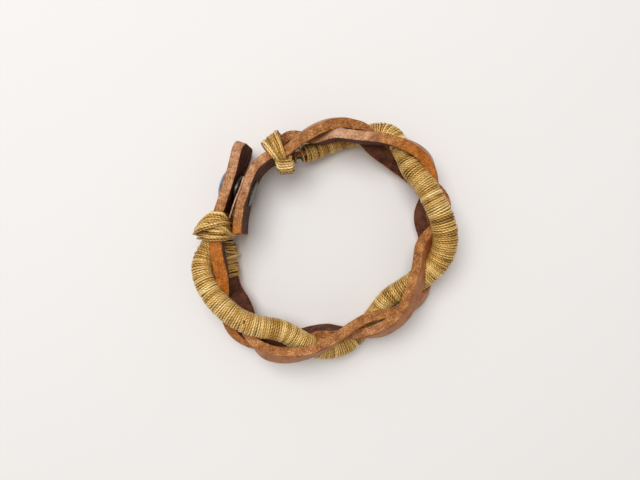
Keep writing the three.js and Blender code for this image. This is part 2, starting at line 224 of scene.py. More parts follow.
def ring_radius(angle):
    from_long = angle - RING_LONG_ANGLE
    return RING_RADIUS + RING_OVAL * cosine(2 * from_long) + RING_SHIFT * cosine(from_long)


def at_angle(angle, radius, height):
    angle, radius, height = np.broadcast_arrays(*map(np.asarray, (angle, radius, height)))
    return np.stack([radius * sine(angle), radius * cosine(angle), height], axis=-1) + RING_CENTRE


def radial(angle):
    return at_angle(angle, 1.0, 0.0) - RING_CENTRE


def turn_at(angle, course):
    """A cubic through the keys, with each key's slope taken from its two neighbours."""
    keys = np.array(course["turns"], float)
    x, y = keys.T
    angle = np.clip(angle, x[0], x[-1])
    right = np.clip(np.searchsorted(x, angle, side="right"), 1, len(x) - 1)
    before = np.where(right >= 2, right - 2, right)
    after = np.where(right + 1 < len(x), np.minimum(right + 1, len(x) - 1), right - 1)
    left_key = x[right - 1]
    right_key = x[right]
    half = (right_key - left_key) / 2
    weight_before = half / (left_key - x[before])
    weight_after = half / (x[after] - right_key)
    p = (angle - left_key) / (right_key - left_key)
    p2 = p * p
    p3 = p * p * p
    share_before = -weight_before * p3 + 2 * weight_before * p2 - weight_before * p
    share_left = (1 + weight_before) * p3 + (-1.5 - 2 * weight_before) * p2 + (-0.5 + weight_before) * p + 1
    share_right = (-1 - weight_after) * p3 + (1.5 + weight_after) * p2 + 0.5 * p
    share_after = weight_after * p3 - weight_after * p2
    return (share_before * y[before] + share_left * y[right - 1]
            + share_right * y[right] + share_after * y[after])


def spread_at(angle):
    """0 where the strands lie flat in their rows, and 1 in the plait."""
    return smooth((angle - PLAIT_START) / START_SPREAD) * smooth((PLAIT_END - angle) / END_SPREAD)


def swing_of(angle, course):
    """How far a strand is swung out, from 1 at the outside to -1 at the inside."""
    held = 0.0
    if "hold" in course:
        at, over, by = course["hold"]
        held = by * smooth(1 - np.abs(angle - at) / over)
    turn = turn_at(angle, course)
    return sine(2 * turn - LINGER * sine(2 * turn)) * spread_at(angle) * (1 - held)


def strand_point(angle, course):
    spread = spread_at(angle)
    flat_rise = course["row"] * STRAP_HEIGHT / 3 * (1 - spread)
    rise = flat_rise + PLAIT_RISE * cosine(turn_at(angle, course)) * spread
    out = course["swing"] * swing_of(angle, course) + eased(angle, course["push"])
    return at_angle(angle, ring_radius(angle) + out, MIDDLE + rise)


def strand_frame(angle, course):
    """Points on a strand's middle line, and the directions through its leather outwards and up across it."""
    step = 0.25
    ahead = strand_point(np.minimum(angle + step, PLAIT_END), course)
    behind = strand_point(np.maximum(angle - step, PLAIT_START), course)
    along = unit(ahead - behind)
    out = radial(angle)
    flat = unit(out - along * np.sum(out * along, axis=-1, keepdims=True))
    upright = np.cross(along, flat)
    lean = eased(angle, course["lean"])[..., None]
    outward = flat * cosine(lean) - upright * sine(lean)
    up = upright * cosine(lean) + flat * sine(lean)
    return strand_point(angle, course), outward, up


def lengths_along(points):
    return np.concatenate([[0.0], np.cumsum(np.linalg.norm(np.diff(points, axis=0), axis=1))])


def at_lengths(wanted, length, rows):
    """The rows, each given at its length, worked out at the wanted lengths."""
    return np.stack([np.interp(wanted, length, rows[:, k]) for k in range(3)], axis=1)


def wander(count, spacing, size):
    """A smooth random line of count values, with a new random value every spacing of them."""
    knots = chance.normal(0, size, int(count / spacing) + 3)
    x = np.arange(count) / spacing
    low = x.astype(int)
    share = smooth(x - low)
    return knots[low] * (1 - share) + knots[low + 1] * share


def through(points, count):
    """A smooth curve of count evenly spaced points through the given ones, and its directions."""
    fine_steps = 24
    points = np.array(points, float)
    ends = np.vstack([2 * points[0] - points[1], points, 2 * points[-1] - points[-2]])
    fine = []
    for i in range(len(points) - 1):
        a, b, c, d = ends[i:i + 4]
        before = np.linalg.norm(b - a) ** 0.5
        between = np.linalg.norm(c - b) ** 0.5
        after = np.linalg.norm(d - c) ** 0.5
        leave = ((b - a) / before - (c - a) / (before + between) + (c - b) / between) * between
        arrive = ((c - b) / between - (d - b) / (between + after) + (d - c) / after) * between
        t = np.linspace(0, 1, fine_steps, endpoint=False)[:, None]
        fine.append((2 * t**3 - 3 * t**2 + 1) * b + (t**3 - 2 * t**2 + t) * leave
                    + (3 * t**2 - 2 * t**3) * c + (t**3 - t**2) * arrive)
    fine = np.vstack(fine + [points[-1:]])
    length = lengths_along(fine)
    line = at_lengths(np.linspace(0, length[-1], count), length, fine)
    return line, unit(np.gradient(line, axis=0))


# ---------------------------------------------------------------- meshes

def new_mesh(name, vertices, faces, material, flat_faces=()):
    """vertices in millimetres. Shaded smooth, apart from the faces whose numbers are in flat_faces."""
    mesh = bpy.data.meshes.new(name)
    mesh.from_pydata((np.asarray(vertices) * MM).tolist(), [], faces)
    smooth_faces = np.ones(len(mesh.polygons), bool)
    smooth_faces[list(flat_faces)] = False
    mesh.polygons.foreach_set("use_smooth", smooth_faces)
    mesh.materials.append(material)
    piece = bpy.data.objects.new(name, mesh)
    bpy.context.scene.collection.objects.link(piece)
    return piece


def set_attribute(piece, name, values):
    made = piece.data.attributes.new(name, "FLOAT", "POINT")
    made.data.foreach_set("value", np.asarray(values, np.float32).ravel())


def grid_faces(rows, columns, closed_rows=False):
    """Quads between rows of points. Each row is a closed section, and closed_rows joins the last row to the
    first."""
    r = np.arange(rows if closed_rows else rows - 1)[:, None]
    c = np.arange(columns)[None, :]
    r2 = (r + 1) % rows
    c2 = (c + 1) % columns
    corners = (r * columns + c, r2 * columns + c, r2 * columns + c2, r * columns + c2)
    return np.stack(np.broadcast_arrays(*corners), -1).reshape(-1, 4).tolist()


def leather_section(half_x, half_y):
    """The outline of a strip of leather: x outwards through it, y up across it. The grain's corners are
    rubbed round and the flesh's are sharper."""
    corner_points = 5
    longest_side = 0.8
    points = []
    for sx, sy, radius, start in ((1, -1, GRAIN_CORNER, -90), (1, 1, GRAIN_CORNER, 0),
                                  (-1, 1, FLESH_CORNER, 90), (-1, -1, FLESH_CORNER, 180)):
        for step in range(corner_points):
            turn = start + 90 * step / (corner_points - 1)
            x = sx * (half_x - radius) + radius * cosine(turn)
            y = sy * (half_y - radius) + radius * sine(turn)
            points.append((x, y))
    outline = []
    for i, point in enumerate(points):
        outline.append(point)
        if i % corner_points == corner_points - 1:
            following = points[(i + 1) % len(points)]
            extra = max(2, int(math.dist(point, following) / longest_side))
            for k in range(1, extra):
                outline.append(tuple(np.array(point) + (np.array(following) - point) * k / extra))
    return np.array(outline)


def strip(name, places, half_x, half_y, material, half_y_at=None, tones=0.0, cut_ends=(False, False),
          caps=(True, True), thick=1.0):
    """Leather laid along places = (points, outward, up). half_y_at gives each station's own half width,
    thick its share of the thickness and tones its tint, whose pale end is partly a painted highlight.
    cut_ends says which ends show their raw edge, and caps which ends are closed."""
    points, outward, up = places
    section = leather_section(half_x, half_y)
    count, columns = len(points), len(section)
    heights = np.full(count, float(half_y)) if half_y_at is None else half_y_at
    along = lengths_along(points)
    thick = np.broadcast_to(thick, (count,))[:, None]
    x = thick * section[:, 0]
    y = section[:, 1] * heights[:, None] / half_y
    for cut, distance in ((cut_ends[0], along), (cut_ends[1], along[-1] - along)):
        if cut:
            inset = 1 - np.clip(distance / CUT_ROUNDING, 0, 1)
            rounding = CUT_ROUNDING * (1 - np.sqrt(np.clip(1 - inset ** 2, 0, 1)))
            x = x * (1 - rounding / half_x)[:, None]
            y = y * (1 - rounding / heights)[:, None]
    uneven = [wander(count, 4, 0.02) + wander(count, 11, 0.05) for _ in range(2)]
    share = section[:, 1] / half_y
    at_top = smooth((share - EDGE_SHARE) / (1 - EDGE_SHARE))
    at_bottom = smooth((-share - EDGE_SHARE) / (1 - EDGE_SHARE))
    y = y + at_top * uneven[0][:, None] - at_bottom * uneven[1][:, None]
    y = y + chance.normal(0, EDGE_ROUGHNESS, x.shape) * (np.abs(share) > EDGE_SHARE)
    vertices = points[:, None, :] + outward[:, None, :] * x[..., None] + up[:, None, :] * y[..., None]
    faces = grid_faces(count, columns)
    flat = []
    for shown, row, order in ((caps[0], 0, 1), (caps[1], count - 1, -1)):
        if shown:
            flat.append(len(faces))
            faces.append([row * columns + i for i in range(columns)][::order])
    piece = new_mesh(name, vertices.reshape(-1, 3), faces, material, flat)
    from_edge = heights[:, None] * (1 - np.abs(share))
    if cut_ends[0]:
        from_edge = np.minimum(from_edge, along[:, None])
    if cut_ends[1]:
        from_edge = np.minimum(from_edge, along[-1] - along[:, None])
    set_attribute(piece, "along", along[:, None] * np.ones(columns))
    set_attribute(piece, "from_edge", from_edge)
    set_attribute(piece, "from_grain", thick * (half_x - section[:, 0]))
    set_attribute(piece, "tone", np.broadcast_to(tones, (count,))[:, None] * np.ones(columns))
    return piece


def tube(name, lines, radius, material, sides=8, closed=False, window=None):
    """Threads along lines, each a (points, shade) pair, as one piece. A thread's uv is (share round, length).
    For a helix, window is the number of points in one turn."""
    tiny = 1e-6
    all_vertices, all_faces, all_uv, all_shade = [], [], [], []
    first = 0
    turn = np.linspace(0, 2 * math.pi, sides, endpoint=False)
    for points, shade in lines:
        points = np.asarray(points, float)
        count = len(points)
        if closed:
            along = unit(np.roll(points, -1, axis=0) - np.roll(points, 1, axis=0))
        else:
            along = unit(np.gradient(points, axis=0))
        middle = points.mean(axis=0)
        if window:
            ends = np.vstack([points[:1].repeat(window // 2, 0), points, points[-1:].repeat(window // 2, 0)])
            total = np.vstack([np.zeros(3), np.cumsum(ends, axis=0)])
            middle = (total[window:] - total[:-window])[:count] / window
        away = points - middle
        side = unit(np.cross(along, away + tiny))
        over = np.cross(side, along)
        size = radius * (1 + wander(count, 5, 0.06))
        ring = side[:, None, :] * np.cos(turn)[None, :, None] + over[:, None, :] * np.sin(turn)[None, :, None]
        vertices = points[:, None, :] + ring * size[:, None, None]
        faces = grid_faces(count, sides, closed_rows=closed)
        length = lengths_along(points)
        uv = []
        rows = count if closed else count - 1
        for r in range(rows):
            low = length[r]
            high = length[r + 1] if r + 1 < count else length[r] + (length[1] - length[0])
            for c in range(sides):
                uv.extend((c / sides, low, c / sides, high, (c + 1) / sides, high, (c + 1) / sides, low))
        if not closed:
            faces.append(list(range(sides)))
            faces.append([(count - 1) * sides + i for i in reversed(range(sides))])
            uv.extend([0.0] * (4 * sides))
        all_faces.extend([[v + first for v in face] for face in faces])
        all_vertices.append(vertices.reshape(-1, 3))
        all_uv.extend(uv)
        all_shade.append(np.repeat(np.broadcast_to(shade, (count,)), sides))
        first += count * sides
    piece = new_mesh(name, np.vstack(all_vertices), all_faces, material)
    layer = piece.data.uv_layers.new(name="thread")
    layer.data.foreach_set("uv", np.asarray(all_uv, np.float32))
    set_attribute(piece, "shade", np.concatenate(all_shade))
    return piece


# ---------------------------------------------------------------- material nodes

class Look:
    """A material, with short calls for its nodes."""

    def __init__(self, name):
        self.material = bpy.data.materials.new(name)
        self.material.use_nodes = True
        self.tree = self.material.node_tree
        self.shader = self.tree.nodes["Principled BSDF"]

    def put(self, value, socket):
        if isinstance(value, bpy.types.NodeSocket):
            self.tree.links.new(value, socket)
        else:
            socket.default_value = value

    def node(self, kind, inputs=(), output=0, **settings):
        made = self.tree.nodes.new("ShaderNode" + kind)
        for key, value in settings.items():
            setattr(made, key, value)
        for key, value in dict(inputs).items():
            self.put(value, made.inputs[key])
        return made.outputs[output]

    def attribute(self, name):
        return self.node("Attribute", output="Fac", attribute_name=name)

    def math(self, operation, a, b=0.0):
        return self.node("Math", {0: a, 1: b}, operation=operation)

    def step(self, value, low, high):
        """0 at low and 1 at high, smooth between them and level beyond. Either may be the greater."""
        made = self.tree.nodes.new("ShaderNodeMapRange")
        made.interpolation_type = "SMOOTHSTEP"
        self.put(value, made.inputs["Value"])
        made.inputs["From Min"].default_value = low
        made.inputs["From Max"].default_value = high
        return made.outputs["Result"]

    def weighted(self, *terms):
        """The sum of value times weight over the terms, which are (value, weight)."""
        total = self.math("MULTIPLY", *terms[-1])
        for value, weight in reversed(terms[:-1]):
            total = self.math("ADD", self.math("MULTIPLY", value, weight), total)
        return total

    def noise(self, vector, scale, detail, rough=0.55, distortion=0.0):
        return self.node("TexNoise", {"Vector": vector, "Scale": scale, "Detail": detail, "Roughness": rough,
                                      "Distortion": distortion})

    def ramp(self, value, *stops):
        made = self.tree.nodes.new("ShaderNodeValToRGB")
        self.put(value, made.inputs["Fac"])
        elements = made.color_ramp.elements
        while len(elements) < len(stops):
            elements.new(0.5)
        for element, (position, colour) in zip(elements, stops):
            element.position = position
            element.color = (*colour, 1.0)
        return made.outputs["Color"]

    def mix(self, share, a, b):
        made = self.tree.nodes.new("ShaderNodeMix")
        made.data_type = "RGBA"
        self.put(share, made.inputs[0])
        for value, socket in ((a, made.inputs[6]), (b, made.inputs[7])):
            self.put((*value, 1.0) if isinstance(value, tuple) else value, socket)
        return made.outputs[2]

    def position(self):
        """The point's place on the object, in millimetres."""
        place = self.node("TexCoord", output="Object")
        return self.node("VectorMath", {0: place, 1: (1 / MM, 1 / MM, 1 / MM)}, operation="MULTIPLY")

    def vector(self, x, y, z):
        return self.node("CombineXYZ", {"X": x, "Y": y, "Z": z})

    def bump(self, height, strength, distance):
        return self.node("Bump", {"Height": height, "Strength": strength, "Distance": distance * MM})

    def finish(self, colour, roughness, normal=None, **shader):
        self.put(colour, self.shader.inputs["Base Color"])
        self.put(roughness, self.shader.inputs["Roughness"])
        if normal is not None:
            self.put(normal, self.shader.inputs["Normal"])
        for key, value in shader.items():
            self.shader.inputs[key.replace("_", " ")].default_value = value
        return self.material


def leather_look(name):
    """Leather with raw edges, a fuzzy flesh side and a smooth grain side. Its tone attribute runs from -1,
    pale and pinkish, which is partly a painted highlight, to 1, orange."""
    look = Look(name)
    place = look.position()
    along = look.attribute("along")
    from_edge = look.attribute("from_edge")
    from_grain = look.attribute("from_grain")
    tone = look.attribute("tone")
    mottle = look.noise(place, 0.32, 2.0)
    speckle = look.noise(place, 2.4, 4.0, 0.65)
    fibre = look.noise(look.vector(look.math("MULTIPLY", along, 0.9), look.math("MULTIPLY", from_grain, 2.4),
                                   look.math("MULTIPLY", from_edge, 2.4)), 1.0, 4.0, 0.65)
    shade = look.weighted((speckle, 0.52), (fibre, 0.32), (mottle, 0.3))
    edge = look.ramp(shade, (0.44, (0.11, 0.03, 0.006)), (0.58, (0.39, 0.145, 0.034)),
                     (0.7, (0.72, 0.38, 0.14)))
    orange = look.ramp(shade, (0.46, (0.2, 0.045, 0.004)), (0.58, (0.46, 0.13, 0.009)),
                       (0.72, (0.68, 0.29, 0.05)))
    # The pale ramp is the leather's own pale tint and partly a painted highlight on the raw edges.
    pale = look.ramp(shade, (0.46, (0.26, 0.1, 0.04)), (0.58, (0.56, 0.29, 0.16)), (0.7, (0.78, 0.52, 0.36)))
    edge = look.mix(look.step(tone, 0.0, 1.0), edge, orange)
    edge = look.mix(look.step(tone, 0.0, -1.0), edge, pale)
    flesh_shade = look.weighted((speckle, 0.6), (mottle, 0.4))
    flesh = look.ramp(flesh_shade, (0.42, (0.035, 0.009, 0.004)), (0.64, (0.21, 0.068, 0.03)))
    grain_dark = (0.12, 0.032, 0.009)
    grain_shade = look.weighted((mottle, 0.55), (speckle, 0.45))
    grain = look.ramp(grain_shade, (0.36, (0.27, 0.08, 0.02)), (0.66, (0.54, 0.21, 0.062)))
    dyed = look.step(from_grain, 0.45, 0.1)
    edge = look.mix(look.math("MULTIPLY", dyed, 0.55), edge, grain_dark)
    on_edge = look.step(from_edge, 0.42, 0.12)
    on_grain = look.step(from_grain, 0.5, 0.1)
    colour = look.mix(on_edge, look.mix(on_grain, flesh, grain), edge)
    creases = look.noise(place, 1.3, 3.0, 0.6, 0.6)
    height = look.weighted((fibre, 0.6), (speckle, 1.0), (creases, 0.5))
    roughness = look.math("SUBTRACT", 0.82, look.math("MULTIPLY", on_grain, 0.36))
    roughness = look.math("SUBTRACT", roughness, look.math("MULTIPLY", on_edge, 0.2))
    return look.finish(colour, roughness, look.bump(height, 0.6, 0.2), Specular_IOR_Level=0.3)


def thread_look(name, dark, mid, light):
    """Shiny wound thread: each turn has its own shade, and two plies twist round each other, with painted
    shade darkening the grooves between them.
    """
    look = Look(name)
    uv = look.node("UVMap", uv_map="thread")
    split = look.tree.nodes.new("ShaderNodeSeparateXYZ")
    look.put(uv, split.inputs[0])
    around, along = split.outputs[0], split.outputs[1]
    shade = look.attribute("shade")
    twist = look.weighted((around, 2.0), (along, 0.9))
    ply = look.math("SINE", look.math("MULTIPLY", twist, 2 * math.pi))
    ply = look.math("ADD", look.math("MULTIPLY", ply, 0.5), 0.5)
    glint = look.noise(look.position(), 1.8, 3.0, 0.6)
    tone = look.math("ADD", shade, look.math("MULTIPLY", look.math("SUBTRACT", glint, 0.5), 0.7))
    # Painted shade: the ply wave darkens the colour in the grooves between the plies.
    tone = look.math("ADD", tone, look.math("MULTIPLY", look.math("SUBTRACT", ply, 0.5), 0.25))
    colour = look.ramp(tone, (0.14, dark), (0.5, mid), (0.86, light))
    normal = look.bump(look.math("ADD", ply, look.math("MULTIPLY", glint, 0.3)), 0.5, 0.09)
    return look.finish(colour, 0.4, normal, Metallic=0.2, Specular_IOR_Level=0.45)


def metal_look(name, dark, light, roughness):
    """Satin metal with fine rubbed marks."""
    look = Look(name)
    place = look.position()
    rubbed = look.noise(place, 1.1, 4.0, 0.6)
    marks = look.noise(place, 7.0, 3.0, 0.7)
    colour = look.ramp(rubbed, (0.35, dark), (0.65, light))
    rough = look.math("ADD", roughness - 0.08, look.math("MULTIPLY", marks, 0.16))
    return look.finish(colour, rough, look.bump(marks, 0.15, 0.02), Metallic=1.0)


leather = leather_look("leather")
gold_thread = thread_look("gold_thread", (0.11, 0.044, 0.005), (0.62, 0.345, 0.066), (1.0, 0.8, 0.38))
cap_metal = metal_look("cap_metal", (0.16, 0.2, 0.28), (0.3, 0.36, 0.46), 0.3)
snap_metal = metal_look("snap_metal", (0.11, 0.1, 0.085), (0.22, 0.205, 0.18), 0.36)


# ---------------------------------------------------------------- helpers that hand pieces to the frame

def hand_over(piece, bodies, nodes, bend=None):
    """bodies is one body's name, which the piece is attached to, or the two that a bending piece joins. bend
    is the two points where it starts and stops bending. Given a bend, the piece is fixed where it stands, and
    neither bodies nor the bend's points are used."""
    if bend is None:
        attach(piece, bodies)
    else:
        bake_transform(piece)
    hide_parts(*nodes)


BEND = (at_angle(BEND_FROM, RING_RADIUS, MIDDLE), at_angle(BEND_TO, RING_RADIUS, MIDDLE))
CUTS = (BEND_FROM - BEND_MARGIN, BEND_TO + BEND_MARGIN)


def stretches(start, end):
    """The parts of a piece that crosses the flex line: what rides on the band, what lies where the band
    bends and what rides on the band's end."""
    parts = []
    for label, low, high, bodies, bend in (
        ("", start, min(end, CUTS[0]), "band", None),
        ("_bend", max(start, CUTS[0]), min(end, CUTS[1]), ("band", "band_end"), BEND),
        ("_end", max(start, CUTS[1]), end, "band_end", None),
    ):
        if high > low:
            parts.append((label, low, high, bodies, bend))
    return parts


# ---------------------------------------------------------------- leather strands

def cad_nodes(name, bodies):
    """The CAD nodes that a part of the named strand or winding stands for."""
    if bodies == "band":
        return [name]
    if bodies == "band_end":
        return [name + "_end"]
    return [name, name + "_end"]


def strand_piece(course, piece_name, node_name, half_x, half_y):
    keys = np.array(course["tones"]).T
    for label, low, high, bodies, bend in stretches(PLAIT_START, PLAIT_END):
        angles = np.linspace(low, high, int((high - low) / STRAND_STEP) + 2)
        piece = strip(piece_name + label, strand_frame(angles, course), half_x, half_y, leather,
                      tones=np.interp(angles, *keys), caps=(label == "", label == "_end"),
                      thick=eased(angles, course["thick"]))
        hand_over(piece, bodies, cad_nodes(node_name, bodies), bend)


plain_half = (LEATHER / 2 + FULLER_THICKNESS, STRAND_WIDTH / 2 + FULLER_WIDTH)
core_half = (LEATHER / 2 - SLIMMER_CORE, STRAND_WIDTH / 2 - SLIMMER_CORE)
strand_piece(FIRST_PLAIN, "first_strand", "first_plain_strand", *plain_half)
strand_piece(SECOND_PLAIN, "second_strand", "second_plain_strand", *plain_half)
strand_piece(WRAPPED, "wrapped_strand", "wrapped_strand_core", *core_half)


# ---------------------------------------------------------------- wound thread

def winding(course, start, end, half_x, half_y, pitch, wobble, samples=WRAP_SAMPLES, power=0.84):
    """A helix round a strand from one angle to another, as (points, shade, angle) for every sample. wobble is
    how far its turns wander, and a lower power makes them squarer."""
    angles = np.linspace(start, end, 2000)
    route = strand_point(angles, course)
    length = lengths_along(route)
    turns = int(length[-1] / pitch)
    edges = np.cumsum(1 + chance.normal(0, 0.12, turns + 1).clip(-0.3, 0.3))
    edges = (edges - edges[0]) / (edges[-1] - edges[0]) * length[-1]
    count = turns * samples
    t = np.arange(count + 1) / samples
    distance = np.interp(t, np.arange(turns + 1), edges)
    turn = 2 * math.pi * t
    tilt = np.interp(t, np.arange(turns + 1), chance.normal(0, wobble, turns + 1))
    distance = np.clip(distance + tilt * np.cos(turn), 0, length[-1])
    angle = np.interp(distance, length, angles)
    points, outward, up = strand_frame(angle, course)
    lift = np.interp(t, np.arange(turns + 1), chance.normal(0, wobble * 0.45, turns + 1).clip(-0.1, 0.22))
    c, s = np.cos(turn), np.sin(turn)
    thick = eased(angle, course["thick"])
    x = (half_x * thick + lift) * np.sign(c) * np.abs(c) ** power
    y = (half_y * thick + lift) * np.sign(s) * np.abs(s) ** power
    spiral = points + outward * x[:, None] + up * y[:, None]
    per_turn = chance.normal(0.5, 0.12, turns + 1)
    groups = wander(turns + 1, 6, 0.05)
    shade = np.interp(t, np.arange(turns + 1), per_turn + groups)
    return spiral, shade, angle


def long_wrap():
    """The long winding, and the sleeve under it that closes the gaps between its turns, coloured dark as
    painted shade in those gaps.
    """
    points, shade, angle = winding(WRAPPED, WRAP_START, WRAP_END, WRAP_HALF_WIDTH, WRAP_HALF_WIDTH,
                                   WRAP_PITCH, WRAP_WOBBLE)
    for label, low, high, bodies, bend in stretches(WRAP_START - WRAP_MARGIN, WRAP_END + WRAP_MARGIN):
        inside = (angle >= low) & (angle <= high)
        first, last = np.flatnonzero(inside)[[0, -1]]
        line = (points[first:last + 1], shade[first:last + 1])
        piece = tube("gold_wrap" + label, [line], THREAD, gold_thread, window=WRAP_SAMPLES)
        hand_over(piece, bodies, cad_nodes("thread_wrap", bodies), bend)
        angles = np.linspace(max(low, WRAP_START + SLEEVE_INSET), min(high, WRAP_END - SLEEVE_INSET),
                             int((high - low) / STRAND_STEP))
        radius = SLEEVE_RADIUS * eased(angles, WRAPPED["thick"])
        # The sleeve's low shade value paints shade into the gaps between the turns.
        line = (strand_point(angles, WRAPPED), SLEEVE_PAINTED_SHADE)
        piece = tube("under_wrap_painted_shade" + label, [line], radius, gold_thread, 20)
        hand_over(piece, bodies, [], bend)


long_wrap()


def tail_wrap():
    """The loose, uneven end of a binding's thread, wound round the second strand beside the first binding."""
    samples = 20
    lines = []
    for pitch, loose, low, high in ((0.75, 0.2, 248, 269), (1.5, 0.6, 249, 269), (2.2, 1.0, 250, 269)):
        half_x = LEATHER / 2 + 0.5 + loose
        half_y = STRAND_WIDTH / 2 + 0.4 + loose
        points, shade, _ = winding(SECOND_PLAIN, low, high, half_x, half_y, pitch, 0.5 + loose, samples, 0.85)
        slack = np.stack([wander(len(points), 8, loose * 0.45) for _ in range(3)], axis=1)
        lines.append((points + slack, shade))
    piece = tube("tail_wrap", lines, THREAD, gold_thread, window=samples)
    hand_over(piece, ("band", "band_end"), ["knot_one_tail"], BEND)


tail_wrap()


# ---------------------------------------------------------------- bindings

def turn_of_thread(faces, outer, top, inner, lift, drawn=0.0):
    """One closed turn round the strap. outer, top and inner are the angles where it crosses the outer face,
    the middle of the top and the inner face. faces is rows of (angle, inner radius, outer radius), lift is
    how far it stands off them, and drawn is how far its outer side slopes in towards its top."""
    samples = 60
    t = np.linspace(0, 2 * math.pi, samples, endpoint=False)
    c = np.sign(np.cos(t)) * np.abs(np.cos(t)) ** BINDING_SQUARENESS
    s = np.sign(np.sin(t)) * np.abs(np.sin(t)) ** BINDING_SQUARENESS
    above = smooth(s)
    bow = (top - (outer + inner) / 2) * (1 - c ** 4) * above
    angle = (outer + inner) / 2 + (outer - inner) / 2 * c + bow + wander(samples, 9, 0.22)
    low, high = (np.interp(angle, [row[0] for row in faces], [row[k] for row in faces]) for k in (1, 2))
    low = low + THREAD - lift
    high = high - THREAD + lift - drawn * above
    radius = (low + high) / 2 + (high - low) / 2 * c
    half_height = STRAP_HEIGHT / 2 + BINDING_PROUD - THREAD
    height = MIDDLE + half_height * s + above * (lift + wander(samples, 7, 0.07))
    return at_angle(angle, radius, height)


def binding(name, nodes, body, faces, turns):
    """A piece of closed turns. Each turn is what turn_of_thread takes after faces."""
    lines = []
    for turn in turns:
        lines.append((turn_of_thread(faces, *turn), chance.normal(0.5, 0.2)))
    piece = tube(name, lines, THREAD, gold_thread, 10, closed=True)
    hand_over(piece, body, nodes)


# What each binding lies on, as rows of (angle, inner radius, outer radius).
KNOT_ONE_FACES = [(266, 31.4, 43.8), (269.6, 31.3, 44.1), (275, 31.5, 43.4), (284.2, 33.0, 39.9),
                  (288, 33.3, 39.4)]
KNOT_TWO_FACES = [(-35, 31.0, 37.9), (-32.6, 30.4, 38.4), (-23.8, 28.9, 40.2), (-20, 28.7, 40.4)]


def first_knot():
    """Level turns at the plait, then an arch of turns at the tab with three across it and others beneath."""
    lower = [(270.6 + 1.08 * k, 269.9 + 1.1 * k, 270.6 + 1.05 * k, chance.uniform(0, 0.35), 3.8)
             for k in range(7)]
    binding("knot_one_lower_threads", ["knot_one_lower_turns"], "band_end", KNOT_ONE_FACES, lower)
    arch = [(277.8 - 0.72 * k, 284.5 - 1.08 * k, 280.4 - 1.2 * k, chance.uniform(0.45, 0.9), 0.4)
            for k in range(8)]
    across = [(273.6 - 0.7 * k, 278.9 - 1.05 * k, 281.6 - 1.0 * k, chance.uniform(1.0, 1.4), 0.8)
              for k in range(3)]
    beneath = [(276.4 + 1.1 * k, 276.9 + 1.1 * k, 276.8 + 1.1 * k, 0.0, 0.9) for k in range(8)]
    binding("knot_one_upper_threads", ["knot_one_upper_turns"], "band_end", KNOT_ONE_FACES,
            arch + across + beneath)


def second_knot():
    """Level turns, and others over them that fan out towards the outer face."""
    under = [(-32.2 + 1.2 * k, -31.8 + 1.1 * k, -31.2 + 0.95 * k, 0.0) for k in range(8)]
    over = [(-32.8 + 1.25 * k, -30.6 + 0.85 * k, -29.8 + 0.55 * k, chance.uniform(0.3, 1.1))
            for k in range(9)]
    binding("knot_two_threads", ["knot_two_turns"], "band", KNOT_TWO_FACES, under + over)


def hanging_loop():
    """A bundle of the second binding's thread that hangs across its inner side in slack loops."""
    hidden_radius = 31.8
    lines = []
    for k in range(6):
        start_angle = -31.2 - 0.45 * k + chance.normal(0, 0.25)
        start_radius = 30.4 - 0.78 * k
        end_angle = -21.6 - 0.2 * k + chance.normal(0, 0.25)
        end_radius = 28.9 - 0.74 * k
        high = 18.4 - 0.45 * k + chance.normal(0, 0.2)
        line, _ = through([at_angle(*point) for point in (
            (start_angle + 2.2, hidden_radius, high),
            (start_angle + 0.4, start_radius + 0.5, high),
            (start_angle + 1.6, start_radius - 0.25, high),
            ((start_angle + end_angle) / 2, (start_radius + end_radius) / 2 - 0.35, high - 0.3),
            (end_angle - 1.6, end_radius - 0.1, high - 0.2),
            (end_angle - 0.3, end_radius + 0.7, high - 0.6),
            (end_angle - 2.2, hidden_radius, high - 1.2),
        )], 50)
        lines.append((line, chance.normal(0.5, 0.2)))
    piece = tube("knot_two_loop_threads", lines, THREAD, gold_thread, 10)
    hand_over(piece, "band", ["knot_two_loop"])


def stray_thread():
    """The long winding's first loose turns, which start at the second binding."""
    samples = 30
    points, shade, _ = winding(WRAPPED, -22, -8, 2.9, 3.4, 2.2, 0.4, samples, 0.85)
    piece = tube("stray_thread", [(points, shade)], THREAD * 0.9, gold_thread, window=samples)
    hand_over(piece, "band", [])


first_knot()
second_knot()
hanging_loop()
stray_thread()


# ---------------------------------------------------------------- tabs

UP = np.array([0.0, 0.0, 1.0])
tab_along = radial(SNAP_TURN)
tab_inward = radial(SNAP_TURN + 90)
mouth = at_angle(MOUTH_ANGLE, ring_radius(MOUTH_ANGLE) - MOUTH_INSET, MIDDLE)
snap_middle = mouth + tab_along * MOUTH_DISTANCE
inner_inset = LEATHER + SNAP_GAP


